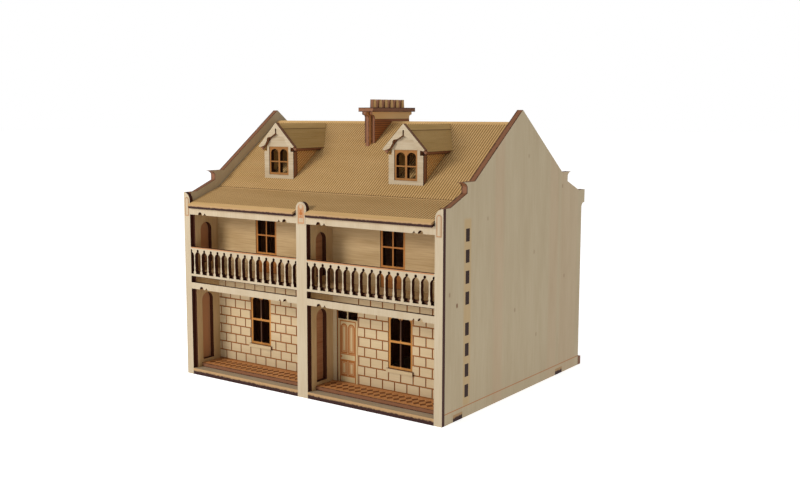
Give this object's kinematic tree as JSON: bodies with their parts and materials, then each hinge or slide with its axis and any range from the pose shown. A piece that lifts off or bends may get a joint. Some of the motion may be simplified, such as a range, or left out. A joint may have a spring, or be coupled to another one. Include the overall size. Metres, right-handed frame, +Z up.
{
  "type": "wooden dollhouse",
  "caption": "Laser-cut plywood dollhouse: a mirrored pair of two-storey terrace houses with a verandah, balcony, dormers and a lift-off pitched roof.",
  "frame": {"origin": "middle of the footprint, on the surface the house stands on", "axes": "+X along the front towards the right-hand house, +Y from the front to the back, +Z up"},
  "size_m": [0.15, 0.1342, 0.1349],
  "materials": {
    "front_ply": "bare laser-cut plywood, satin",
    "wall_ply": "bare plywood with burnt edges, satin",
    "roof_ply": "plywood engraved with fine corrugations",
    "tile_ply": "plywood darkened by engraving"
  },
  "bodies": {
    "house": {"balcony_floor_left": "front_ply", "balcony_floor_right": "front_ply", "base_plate": "front_ply", "french_window_left": "front_ply", "french_window_right": "front_ply", "front_door_left": "front_ply", "front_door_right": "front_ply", "front_wall_lower_left": "front_ply", "front_wall_lower_right": "front_ply", "front_wall_upper_left": "front_ply", "front_wall_upper_right": "front_ply", "ground_window_left": "front_ply", "ground_window_right": "front_ply", "niche_lining_ground_inner_left": "front_ply", "niche_lining_ground_inner_right": "front_ply", "niche_lining_ground_outer_left": "front_ply", "niche_lining_ground_outer_right": "front_ply", "niche_lining_upper_inner_left": "front_ply", "niche_lining_upper_inner_right": "front_ply", "niche_lining_upper_outer_left": "front_ply", "niche_lining_upper_outer_right": "front_ply", "party_wall": "front_ply", "rear_lower_roof": "roof_ply", "rear_plinth": "front_ply", "rear_wall": "front_ply", "roof_ledge_left": "front_ply", "roof_ledge_right": "front_ply", "side_wall_left": "wall_ply", "side_wall_right": "wall_ply", "tile_plate_left": "tile_ply", "tile_plate_right": "tile_ply", "verandah_roof": "roof_ply", "verandah_screen": "front_ply", "window_sill_left": "front_ply", "window_sill_right": "front_ply"},
    "roof": {"chimney_cap": "front_ply", "chimney_core": "front_ply", "chimney_pots": "front_ply", "chimney_side_left": "front_ply", "chimney_side_right": "front_ply", "dormer_bargeboard_left": "front_ply", "dormer_bargeboard_right": "front_ply", "dormer_cheek_inner_left": "front_ply", "dormer_cheek_inner_right": "front_ply", "dormer_cheek_outer_left": "front_ply", "dormer_cheek_outer_right": "front_ply", "dormer_front_left": "front_ply", "dormer_front_right": "front_ply", "dormer_roof_inner_left": "roof_ply", "dormer_roof_inner_right": "roof_ply", "dormer_roof_outer_left": "roof_ply", "dormer_roof_outer_right": "roof_ply", "dormer_window_left": "front_ply", "dormer_window_right": "front_ply", "main_roof_front": "roof_ply", "main_roof_rear": "roof_ply", "roof_truss_left": "front_ply", "roof_truss_right": "front_ply"}
  },
  "joints": [
    {"name": "roof_lift", "type": "slide", "parent": "house", "child": "roof", "axis": [0, 0, 1], "range_m": [0, 0.06]}
  ]
}
